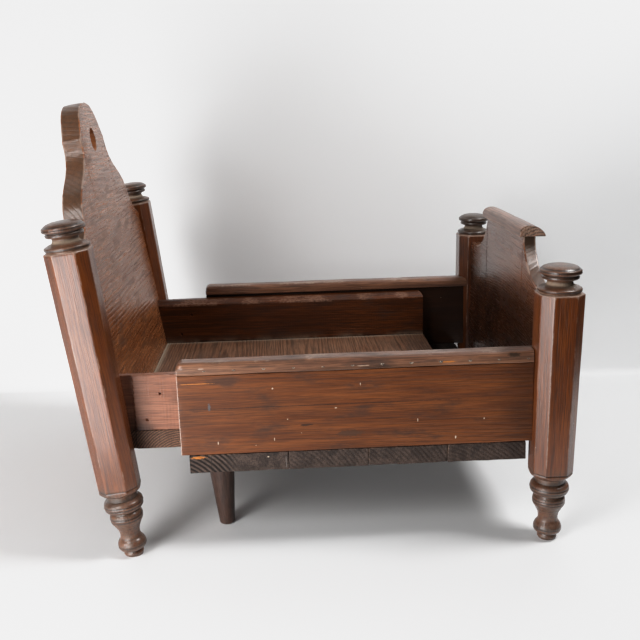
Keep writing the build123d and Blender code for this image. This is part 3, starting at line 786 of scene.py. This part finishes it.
def outer_rail(name, side, seed):
    """A deep rail of the outer tray, butted on its foot post."""
    node = "outer_rail_" + name
    low, high = local_box(node, TRAY)
    high[0] = FOOT_X - TENON_START
    points, faces = block(low, high, (4.0, 1.5, 0.9))
    # The free end takes the worn colour: partly wear, partly a painted highlight of the lit end.
    free_end = np.exp(-(points[:, 0] - low[0]) / (1.1 * MM))
    below = worn_arris(points, low, high, seed, 1.4) * (points[:, 2] < low[2] + 5 * MM)
    wear = np.clip(0.35 * below * (points[:, 0] < high[0] - 4 * MM) + free_end, 0, 1)
    points = rounded(points, low, high, block_radius(points, seed, 0.9, 1.8), square=((0, 1),))
    points = meet_foot_post(points, low, high)
    wood = timber(0, 2, 1, (low[2] / MM + 46, side * 150), 2.6, taper=0.02, seed=seed)

    def relief(points, normals, ring):
        dents = -0.5 * smooth_step(noise(points * np.array((25, 60, 60)), seed + 5), 0.62, 0.9)
        return -0.06 * groove(ring, 0.25) + 0.15 * (fractal(points * 14, seed) - 0.7) + dents

    # Painted shade: the rail darkens over its last 60 mm towards the foot post, and every face but its
    # outside one is painted darkest.
    end = smooth_step(points[:, 0], high[0] - 60 * MM, high[0])
    tone = -0.5 * end + 0.22 * fractal(points * np.array((9, 20, 35)), seed + 2)
    outside = side * points[:, 1] > max(abs(low[1]), abs(high[1])) - 4 * MM
    tone = np.where(outside, tone, -1.0)
    look = LOOKS["near_rail" if side < 0 else "rail"]
    finish_piece(node, (points, faces), TRAY, wood, look, relief, low, wear=wear, tone=tone)


def rail_cap(name, side, seed):
    """A rounded strip nailed along an outer rail."""
    node = "outer_rail_cap_" + name
    low, high = local_box(node, TRAY)
    high[0] = FOOT_X - TENON_START
    points, faces = lattice_box(stations(low[0], high[0], 3.0), stations(low[1], high[1], 0.8, ()),
                                stations(low[2], high[2], 0.8, ()))
    upper = points[:, 2] > (low[2] + high[2]) / 2
    points = rounded(points, low, high, np.where(upper, 6.0 * MM, 1.2 * MM), square=((0, 1),))
    points = meet_foot_post(points, low, high)
    rise = (points[:, 2] - low[2]) / (high[2] - low[2])
    # Wear on the cap's top; its pale grey there is partly rubbed wood, partly a painted sheen.
    wear = 0.6 * smooth_step(rise, 0.7, 1.0) * patches(points, 28, seed, -0.5, 0.6)
    wood = timber(0, 1, 2, (side * 130, low[2] / MM - 20), 3.2, taper=0.02, seed=seed)

    def relief(points, normals, ring):
        dents = -0.5 * smooth_step(noise(points * np.array((40, 80, 80)), seed + 5), 0.55, 0.9)
        wavy = 0.5 * (fractal(points * np.array((9, 30, 30)), seed) - 0.5)
        return dents + wavy - 0.1 * groove(ring, 0.25)

    # Painted shade: the lower part of the cap, under its rounded top, is darker.
    tone = 0.25 * fractal(points * np.array((8, 30, 30)), seed + 3) - 0.25 * (rise < 0.3)
    look = LOOKS["near_cap" if side < 0 else "cap"]
    finish_piece(node, (points, faces), TRAY, wood, look, relief, low, wear=wear, tone=tone)


def outline_board(runs, step, thickness, bottom, radius):
    """A board with a curved top edge: vertices and faces for half-width runs, mirrored."""
    right = profile_points(runs, step)
    right = right[np.concatenate(([True], np.linalg.norm(np.diff(right, axis=0), axis=1) > 0.05))]
    left = right[:0:-1] * np.array((-1, 1))
    line = np.vstack((left, right)) * MM
    spans = np.gradient(line, axis=0)
    outward = np.stack((-spans[:, 1], spans[:, 0]), 1)
    outward /= np.linalg.norm(outward, axis=1)[:, None]
    depths = stations(-thickness / 2, thickness / 2, 2.0, (0.4, 1.0, 1.8))
    columns = np.arange(len(line)).astype(float)
    shares = np.linspace(0, 1, int((line[:, 1].max() - bottom(np.zeros(1))[0]) / (1.35 * MM)))
    points, faces = lattice_box(depths, columns, shares)
    column = points[:, 1].astype(int)
    inset = np.clip(radius * MM - (thickness / 2 - np.abs(points[:, 0])), 0, radius * MM)
    shift = radius * MM - np.sqrt((radius * MM) ** 2 - inset ** 2)
    top = line[column] - outward[column] * shift[:, None]
    low = bottom(points[:, 0])
    share = points[:, 2]
    y = line[column, 0] + (top[:, 0] - line[column, 0]) * share
    z = low + share * (top[:, 1] - low)
    edge = np.hypot((1 - share) * (top[:, 1] - low), thickness / 2 - np.abs(points[:, 0]))
    return np.stack((points[:, 0], y, z), 1), faces, edge


def planed(points, normals, seed, slant, pitch):
    """Fine plane chatter and slow hollows on a wide board's faces, in millimetres."""
    ripple = np.sin(slant / (pitch * MM) + 2.5 * noise(points * 12, seed + 1))
    return 0.02 * np.abs(normals[:, 0]) * ripple + 0.16 * (fractal(points * 10, seed) - 0.6)


def cut_hole(points, faces, radius, depth):
    """Bore a round hole with eased rims along X through a mesh, at its origin."""
    flare, rim, ease = radius + 2.2 * MM, radius + 0.9 * MM, depth / 2 - 1.2 * MM
    runs = ((flare, -depth), (rim, -depth / 2), (radius, -ease),
            (radius, ease), (rim, depth / 2), (flare, depth))
    turns = np.linspace(0, 2 * math.pi, 64, endpoint=False)
    rings = [np.stack((np.full(64, x), r * np.cos(turns), r * np.sin(turns)), 1) for r, x in runs]
    board = bpy.data.objects.new("board", new_mesh("board", points, faces))
    cutter = bpy.data.objects.new("cutter", new_mesh("cutter", *skin(rings)))
    for made in (board, cutter):
        bpy.context.scene.collection.objects.link(made)
    cut = board.modifiers.new("hole", "BOOLEAN")
    cut.operation = "DIFFERENCE"
    cut.solver = "EXACT"
    cut.object = cutter
    graph = bpy.context.evaluated_depsgraph_get()
    mesh = bpy.data.meshes.new_from_object(board.evaluated_get(graph), depsgraph=graph)
    result = mesh_arrays(mesh)
    for made in (board, cutter):
        bpy.data.objects.remove(made)
    return result


def headboard():
    """Tall shaped board with a hole near its crest, leaning with the head posts."""
    floor_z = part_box("headboard")[0][2]
    cos, sin = math.cos(RAKE), math.sin(RAKE)

    def bottom(x):
        return (floor_z - HOLE[2] - x * sin) / cos

    runs = [[(y, z - HOLE_HEIGHT) for y, z in run] for run in HEADBOARD_OUTLINE]
    points, faces, _ = outline_board(runs, 3.2, BOARD_THICKNESS, bottom, 1.4)
    points, faces = cut_hole(points, faces, HOLE_RADIUS, BOARD_THICKNESS)
    face_gap = BOARD_THICKNESS / 2 - np.abs(points[:, 0])
    outline = profile_points(runs, 1.5) * MM
    gaps = np.hypot(np.abs(points[:, 1])[:, None] - outline[None, :, 0],
                    points[:, 2][:, None] - outline[None, :, 1]).min(1)
    rim = np.abs(np.hypot(points[:, 1], points[:, 2]) - HOLE_RADIUS)
    edge_face = (gaps < 2.5 * MM) & (face_gap > 1.5 * MM)
    bore = (rim < 0.8 * MM) & (face_gap > 1.0 * MM)
    wear = beside(np.hypot(np.minimum(gaps, rim), face_gap), 2.2) * patches(points, 50, 51) * ~bore
    wood = timber(1, 2, 0, (HOLE[2] / MM - 96, HOLE[0] / MM - 34), 4.6, taper=0.05, seed=51, wander=0.9)

    def relief(points, normals, ring):
        slant = points[:, 1] * 0.55 + points[:, 2]
        edge_grooves = -0.25 * (1 - np.abs(normals[:, 0])) * groove(ring, 0.25)
        return planed(points, normals, 51, slant, 1.15) + edge_grooves - 0.2 * groove(ring, 0.3)

    # The bore is painted much lighter: partly its bare wood, partly painted light falling into the hole.
    tone = 0.2 * fractal(points * 16, 53) - 0.75 * edge_face + 1.2 * bore
    tone = tone - 0.1 * smooth_step(points[:, 2], -0.02, -0.13)
    finish_piece("headboard", (points + HOLE, faces), BOARD_PLACE, wood, LOOKS["headboard"], relief, HOLE,
                 wear=wear, dust=0.12 * edge_face, tone=tone)


def footboard():
    """Shaped board between the foot posts."""
    low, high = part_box("footboard")
    thickness, middle = high[0] - low[0], (low[0] + high[0]) / 2

    def bottom(x):
        return np.full(len(x), low[2])

    points, faces, edge = outline_board(FOOTBOARD_OUTLINE, 3.0, thickness, bottom, 1.2)
    wear = beside(edge, 2.0) * patches(points, 50, 61)
    points[:, 0] += middle
    wood = timber(1, 2, 0, (60, FOOT_X / MM + 60), 3.3, taper=0.02, seed=61, bow=0.9, wander=0.8)

    def relief(points, normals, ring):
        slant = points[:, 2] - points[:, 1] * 0.7
        return planed(points, normals, 61, slant, 1.2) - 0.10 * groove(ring, 0.3)

    height = points[:, 2]
    edge_face = (np.abs(points[:, 0] - middle) < thickness / 2 - 1.2 * MM) & (height > low[2] + 2 * MM)
    # Painted shade: the board darkens towards its bottom, and its edge faces darken just under the cap.
    lower = smooth_step(-height, -high[2] + 42 * MM, -high[2] + 85 * MM)
    shade_under_cap = edge_face * smooth_step(height, high[2] - 22 * MM, high[2] - 10 * MM)
    tone = 0.2 * fractal(points * 16, 63) - 0.1 - 0.6 * lower - 0.4 * edge_face - 0.5 * shade_under_cap
    finish_piece("footboard", (points, faces), None, wood, LOOKS["footboard"], relief,
                 wear=wear, dust=0.10 * edge_face, tone=tone)


def footboard_cap():
    """Roll moulding along the top of the footboard, with coarse end grain."""
    low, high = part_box("footboard_cap")
    board_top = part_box("footboard")[1][2]
    arc = curve_through(FOOTBOARD_CAP_PROFILE, 1.4)
    base = np.array([(x, 0.0) for x in np.linspace(16.4, -12.6, 16)])
    loop = np.vstack((arc, base)) * MM + np.array((FOOT_X, board_top))
    centre = loop.mean(0)
    closing = (0.15, 0.3, 0.45, 0.6, 0.75, 0.88)
    inset = 0.9 * MM
    ys = stations(low[1], high[1], 3.0, (0.3, 0.9, 1.8))
    rings = [(ys[0], scale) for scale in closing]
    for y in ys:
        pull = max(inset - min(y - low[1], high[1] - y), 0.0)
        rings.append((y, 1 - 0.09 * (pull / inset) ** 2))
    rings += [(ys[-1], scale) for scale in reversed(closing)]
    built = []
    for y, scale in rings:
        flat = centre + (loop - centre) * scale
        built.append(np.stack((flat[:, 0], np.full(len(loop), y), flat[:, 1]), 1))
    points, faces = skin(built)
    wood = timber(1, 0, 2, (FOOT_X / MM + 14, board_top / MM - 30), 3.6, seed=71)

    def relief(points, normals, ring):
        end = np.abs(normals[:, 1]) ** 2
        return -0.9 * end * groove(ring, 0.3) + 0.3 * (fractal(points * 20, 71) - 0.5)

    over = smooth_step(points[:, 2], board_top + 6 * MM, board_top + 12 * MM)
    near_end = np.maximum(smooth_step(points[:, 1], high[1] - 2 * MM, high[1]),
                          smooth_step(-points[:, 1], -low[1] - 2 * MM, -low[1]))
    wear = np.clip(0.45 * over * patches(points, 30, 72, -0.4) + 0.5 * near_end, 0, 1)
    _, ring = growth(points, wood)
    tone = near_end * (0.5 - 1.5 * groove(ring, 0.3))
    finish_piece("footboard_cap", (points, faces), None, wood, LOOKS["cap"], relief, wear=wear, tone=tone)


def octagon_radius(angles, size):
    """Distance from a post's axis to its chamfered square outline."""
    half = size / 2
    flat = half * POST_FLAT_SHARE
    chamfer = (half + flat) / math.sqrt(2)
    reach = []
    for turn in range(8):
        facing = np.cos(angles - turn * math.pi / 4)
        gap = half if turn % 2 == 0 else chamfer
        reach.append(np.where(facing > 0.2, gap / np.maximum(facing, 0.2), 1.0))
    inverse = sum((1 / r) ** 90 for r in np.array(reach) / size)
    return inverse ** (-1 / 90) * size


def post_angles():
    """Angles round a post, closer together at its eight corners."""
    corner = math.atan(POST_FLAT_SHARE)
    stops = []
    for turn in range(4):
        stops += [turn * math.pi / 2 - corner, turn * math.pi / 2 + corner]
    stops.append(stops[0] + 2 * math.pi)
    shares = np.array((0, 0.03, 0.08, 0.16, 0.26, 0.38, 0.5, 0.62, 0.74, 0.84, 0.92, 0.97))
    return np.concatenate([a + (b - a) * shares for a, b in zip(stops[:-1], stops[1:])])


def post_mesh(post):
    """A turned and chamfered post standing on the origin."""
    angles = post_angles()
    shaft = [(99.0, z) for z in np.arange(SHOULDER + 2, post["top"] - 1.2, 2.6)]
    lower = [(9.0, -1.6)] + [tuple(p) for p in profile_points(POST_FOOT, 0.6)] + shaft
    rings = []
    for radius, z in lower:
        size = post_size(post, z * MM)
        rings.append((np.minimum(octagon_radius(angles, size), radius * MM), z * MM))
    top = post["top"] * MM
    outline = octagon_radius(angles, post_size(post, top))
    disc = POST_TOP[0][0][0] * MM
    for inset, drop in ((0.0, 0.9), (0.25, 0.35), (0.8, 0.0)):
        rings.append((outline - inset * MM, top - drop * MM))
    for share in (0.35, 0.7, 1.0):
        rings.append((outline - 0.8 * MM + (disc - outline + 0.8 * MM) * share, top))
    for radius, z in profile_points(POST_TOP, 0.7):
        rings.append((np.full(len(angles), radius * MM), top + z * MM))
    cos, sin = np.cos(angles), np.sin(angles)
    return skin([np.stack((r * cos, r * sin, np.full(len(angles), z)), 1) for r, z in rings])


def post_wear(points, post, seed):
    """Rubbed corners of the shaft and rims of the turning."""
    flat = np.hypot(points[:, 0], points[:, 1])
    angle = np.arctan2(points[:, 1], points[:, 0])
    turned = np.abs((np.degrees(angle) + 45) % 90 - 45)
    aside = np.abs(turned - math.degrees(math.atan(POST_FLAT_SHARE))) * math.pi / 180 * flat
    shaft = smooth_step(points[:, 2], 78 * MM, 92 * MM) * (points[:, 2] < post["top"] * MM - 0.2 * MM)
    rim = beside(points[:, 2] - post["top"] * MM, 1.2) * (flat > 18.5 * MM)
    return np.clip(beside(aside, 0.8) * shaft * patches(points, 45, seed) * 0.75 + rim, 0, 1)


def cut_lines(points, post):
    """1 in the fine lines that the turner cut round the feet and tops, 0 away from them."""
    heights = [z * MM for z in FOOT_LINES] + [(post["top"] + z) * MM for z in TOP_LINES]
    return np.clip(sum(beside(points[:, 2] - z, 0.55) for z in heights), 0, 1)


def post_dust(points, post):
    """Dust lying in the crevices of the turning and on the top of the shaft."""
    ledge = beside(points[:, 2] - post["top"] * MM - 9.5 * MM, 2.2)
    return np.clip(0.75 * ledge + 0.45 * beside(points[:, 2] - 67.5 * MM, 2.0), 0, 1)


def turned_post(node, post, place, side, seed):
    """One corner post: chamfered shaft, turned foot, disc and button."""
    points, faces = post_mesh(post)
    top = post["top"] * MM
    turned = np.maximum(1 - smooth_step(points[:, 2], 70 * MM, 90 * MM),
                        smooth_step(points[:, 2], top - MM, top))
    lines = cut_lines(points, post)
    lathe = noise(points * LATHE_SCALE, seed)
    tone = 0.22 * fractal(points * np.array((60, 60, 9)), seed) - turned * (0.38 + 0.6 * np.abs(lathe))
    tone = tone - 0.7 * lines
    # Painted shade: the far foot post is painted darker all over.
    if post is FOOT_POST and side > 0:
        tone = tone - 0.45
    film = 0.12 + 0.09 * fractal(points * 260, seed + 7)
    dust = np.maximum(post_dust(points, post), turned * film * (1 - lines))
    wear = post_wear(points, post, seed)
    foot = place[1]
    wood = timber(2, 0, 1, (28 * side + foot[0] / MM, 44 + foot[1] / MM), 2.4, taper=0.02, seed=seed)

    def relief(points, normals, ring):
        rough = 0.08 * fractal(points * 300, seed + 9, 2)
        turning = 0.15 * noise(points * LATHE_SCALE, seed) + rough - 0.4 * lines
        shaft = fractal(points * np.array((420.0, 420.0, 18.0)), seed, 2)
        return 0.10 * (fractal(points * 26, seed) - 0.5) + np.where(turned > 0.5, turning, 0.006 * shaft)

    finish_piece(node, (points + foot, faces), place, wood, LOOKS["post"], relief,
                 wear=wear, dust=dust, tone=tone, faint=0.85)


def posts():
    """Four turned corner posts."""
    kinds = (("foot_post_", FOOT_POST, FOOT_X, 0.0), ("head_post_", HEAD_POST, HEAD_X, POST_RAKE))
    seed = 80
    for prefix, post, x, angle in kinds:
        for name, side in SIDES:
            seed += 1
            turned_post(prefix + name, post, (angle, np.array((x, side * POST_Y, 0.0))), side, seed)


def peg(name, side, seed):
    """A tapered peg under the head end of the outer tray."""
    thin, thick = PEG_RADII
    low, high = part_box("support_peg_" + name)
    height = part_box("outer_floor_board_1")[0][2] / MM + 1.0
    angles = np.linspace(0, 2 * math.pi, 56, endpoint=False)
    heights = np.concatenate(((-1.0, -0.2, 0.7, 1.8, 3.2), np.linspace(6, height, 34)))
    rings = []
    for z in heights:
        radius = thin + (thick - thin) * z / height
        radius -= 1.4 * max(0.0, 1 - max(z, 0.0) / 1.8) ** 2
        rings.append(np.stack((radius * np.cos(angles), radius * np.sin(angles), np.full(56, z)), 1) * MM)
    points, faces = skin(rings)
    centre = np.array((TRAY_END + PEG_SETBACK, (low[1] + high[1]) / 2, 0.0))
    wood = timber(2, 0, 1, (centre[0] / MM + 20, centre[1] / MM + 30), 2.5, seed=seed)

    def relief(points, normals, ring):
        return 0.15 * (fractal(points * 40, seed) - 0.6)

    wear = 0.5 * smooth_step(points[:, 2], 4 * MM, 0.0)
    finish_piece("support_peg_" + name, (points + centre, faces), (PEG_LEAN, centre), wood, LOOKS["peg"],
                 relief, wear=wear)


def nails():
    """The iron nails keep their CAD shape and get their own look."""
    look = iron_look()
    for node, piece in NODES.items():
        if "nails" in node:
            piece.data.materials.clear()
            piece.data.materials.append(look)


# ---------------------------------------------------------------- studio

def studio_look():
    """Pale plaster, clear from behind, so that the wall doesn't hide the bed's back."""
    s = Shader("studio_white")
    where = s.node("ShaderNodeTexCoord", output="Object")
    patch = s.noise(where, (2.0, 2.0, 2.0))
    front = s.surface(s.mix(patch, (0.74, 0.745, 0.75), (0.79, 0.79, 0.79)), 0.7, patch, 0.1)
    behind = s.node("ShaderNodeNewGeometry", output="Backfacing")
    clear = s.node("ShaderNodeBsdfTransparent")
    return s.finish(s.node("ShaderNodeMixShader", {0: behind, 1: front, 2: clear}))


def studio():
    """Pale table that turns up into a pale wall close behind the bed, with more floor beyond it.
    Neither casts a shadow, so the low light reaches the bed from past the table's edge."""
    wall_left, wall_right = np.array((-4.0, 0.381)), np.array((0.75, 0.335))
    cove, steps = 0.012, 8
    profile = [(-0.82, 0.0), (-cove, 0.0)]
    for step in range(1, steps + 1):
        turn = step / steps * math.pi / 2
        profile.append((-cove + cove * math.sin(turn), cove - cove * math.cos(turn)))
    profile.append((0.0, 3.5))
    along = (wall_right - wall_left) / np.linalg.norm(wall_right - wall_left)
    outward = np.array((-along[1], along[0]))
    points, faces = [], []
    for run, height in profile:
        for corner in (wall_left, wall_right):
            points.append((*(corner + outward * run), height))
    for a in range(0, 2 * len(profile) - 2, 2):
        faces.append((a, a + 1, a + 3, a + 2))
    mesh = new_mesh("studio", points, faces)
    mesh.polygons.foreach_set("use_smooth", [True] * len(mesh.polygons))
    backdrop = bpy.data.objects.new("studio", mesh)
    ground = [(x, y, -MM) for x, y in ((-6, -6), (6, -6), (6, 6), (-6, 6))]
    beyond = bpy.data.objects.new("ground", new_mesh("ground", ground, [(0, 1, 2, 3)]))
    beyond.visible_diffuse = False
    beyond.visible_glossy = False
    look = studio_look()
    for made in (backdrop, beyond):
        made.data.materials.append(look)
        made.visible_shadow = False
        bpy.context.scene.collection.objects.link(made)


def soft_light(name, place, aim, size, power):
    """A rectangular soft box."""
    lamp = bpy.data.lights.new(name, "AREA")
    lamp.shape = "RECTANGLE"
    lamp.size, lamp.size_y = size
    lamp.energy = power
    made = bpy.data.objects.new(name, lamp)
    bpy.context.scene.collection.objects.link(made)
    made.location = place
    made.rotation_euler = (Vector(aim) - Vector(place)).to_track_quat("-Z", "Y").to_euler()


def lights():
    """Soft boxes low, high and far at the left, a strong fill high at the right, and pale air."""
    world = bpy.data.worlds.new("studio_air")
    world.use_nodes = True
    background = world.node_tree.nodes["Background"]
    background.inputs["Color"].default_value = (0.95, 0.97, 1.0, 1.0)
    background.inputs["Strength"].default_value = 0.03
    bpy.context.scene.world = world
    soft_light("key_low", (-0.63, -0.80, 0.05), (0.0, 0.1, 0.12), (0.72, 0.6), 12)
    soft_light("key_high", (-0.74, -0.95, 0.92), (0.0, -0.1, 0.1), (0.35, 0.55), 9)
    soft_light("fill", (0.95, -0.32, 1.45), (0.1, 0.0, 0.0), (0.5, 0.5), 22.5)
    soft_light("left", (-1.4, -0.45, 1.0), (0.0, 0.2, 0.2), (0.5, 0.5), 2.2)


def camera():
    """The photograph's view: the whole bed from its left side, a little above it."""
    place = Vector((-0.02797, -0.99726, 0.45252))
    yaw, pitch, roll = 0.0436, 0.25255, -0.01824
    forward = Vector((math.sin(yaw) * math.cos(pitch), math.cos(yaw) * math.cos(pitch), -math.sin(pitch)))
    level = Vector((math.cos(yaw), -math.sin(yaw), 0.0))
    rise = level.cross(forward)
    right = level * math.cos(roll) + rise * math.sin(roll)
    up = -level * math.sin(roll) + rise * math.cos(roll)
    data = bpy.data.cameras.new("camera")
    data.sensor_width = 36.0
    data.lens = 47.813
    data.clip_start = 0.05
    data.clip_end = 50.0
    made = bpy.data.objects.new("camera", data)
    axes = Matrix((right, up, -forward)).transposed()
    made.matrix_world = Matrix.Translation(place) @ axes.to_4x4()
    bpy.context.scene.collection.objects.link(made)
    bpy.context.scene.camera = made


def soften_whites(view):
    """Roll the brightest tones off gently, as a print does, so that the white wall isn't burnt out."""
    view.use_curve_mapping = True
    mapping = view.curve_mapping
    mapping.clip_max_x = 4.0
    mapping.clip_max_y = 4.0
    curve = mapping.curves[3]
    curve.points[0].location = (0.0, 0.0)
    curve.points[1].location = (4.0, 0.93)
    for bright, shown in ((0.4, 0.4), (0.7, 0.70), (0.9, 0.84), (1.2, 0.895), (2.0, 0.91)):
        curve.points.new(bright, shown)
    mapping.update()


for count, heart_x in enumerate(INNER_HEARTS, 1):
    inner_floor_board(count, heart_x)
for count, heart_at in enumerate(OUTER_HEARTS, 1):
    outer_floor_board(count, *heart_at)
for build, first_seed in ((inner_rail, 21), (outer_rail, 31), (rail_cap, 41)):
    for count, (side_name, side_sign) in enumerate(SIDES):
        build(side_name, side_sign, first_seed + count)
headboard()
footboard()
footboard_cap()
posts()
for count, (side_name, side_sign) in enumerate(SIDES):
    peg(side_name, side_sign, 91 + count)
nails()
studio()
lights()
camera()
scene_view = bpy.context.scene.view_settings
scene_view.view_transform = "Standard"
scene_view.gamma = 0.88
soften_whites(scene_view)
